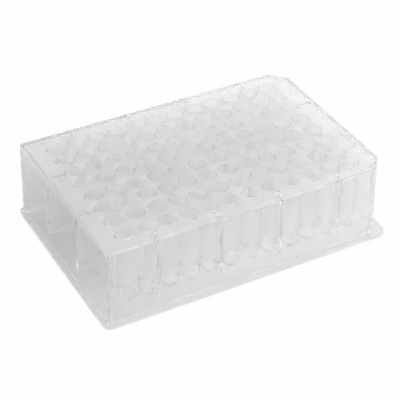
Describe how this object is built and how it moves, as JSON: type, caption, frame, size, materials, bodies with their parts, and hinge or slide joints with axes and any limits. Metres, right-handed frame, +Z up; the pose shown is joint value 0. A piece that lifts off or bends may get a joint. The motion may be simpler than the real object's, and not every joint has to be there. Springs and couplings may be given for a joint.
{
  "type": "well plate",
  "caption": "Clear one-piece deep-well plate: a grid of round-bottomed wells hanging from a flat deck, inside a tall skirt with a foot flange and two cut corners.",
  "frame": {"origin": "centre of the footprint, on the plane the plate stands on", "axes": "+X along the long side, towards the end with the two cut corners; +Y across the plate, towards row A; +Z up, out of the wells"},
  "size_m": [0.1278, 0.0854, 0.0348],
  "materials": {
    "clear_polystyrene": "clear, colourless, polished moulded plastic"
  },
  "bodies": {
    "root": {"well_plate": "clear_polystyrene"}
  },
  "joints": []
}
